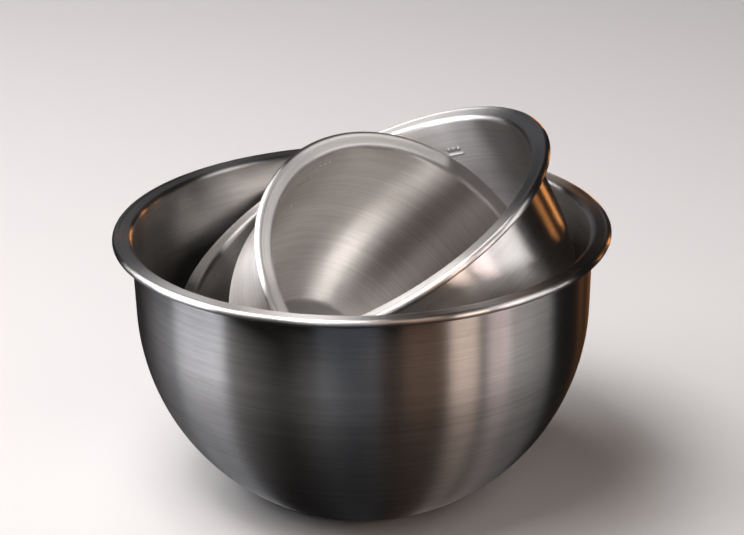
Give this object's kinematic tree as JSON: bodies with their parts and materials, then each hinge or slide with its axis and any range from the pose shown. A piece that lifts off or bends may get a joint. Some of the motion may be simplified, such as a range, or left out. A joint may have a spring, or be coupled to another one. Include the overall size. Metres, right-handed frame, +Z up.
{
  "type": "mixing bowl",
  "caption": "Nest of round steel mixing bowls with flat rolled lips: a large one upright, a medium one leaning in it and a small one leaning in that.",
  "frame": {"origin": "centre of the large bowl's underside, on the surface it stands on", "axes": "+Z up, along the large bowl's axis; the medium bowl's opening leans towards -X, and the small bowl's towards +X and -Y"},
  "size_m": [0.26, 0.26, 0.1863],
  "materials": {
    "steel": "brushed round the bowl, satin"
  },
  "bodies": {
    "large_bowl": {"large_bowl": "steel"},
    "medium_bowl": {"medium_bowl": "steel"},
    "small_bowl": {"small_bowl": "steel"}
  },
  "joints": [
    {"name": "medium_lift", "type": "slide", "parent": "large_bowl", "child": "medium_bowl", "axis": [0, 0, 1], "range_m": [0, 0.16]},
    {"name": "small_lift", "type": "slide", "parent": "medium_bowl", "child": "small_bowl", "axis": [-0.2251, -0.044, 0.9733], "range_m": [0, 0.16]}
  ]
}
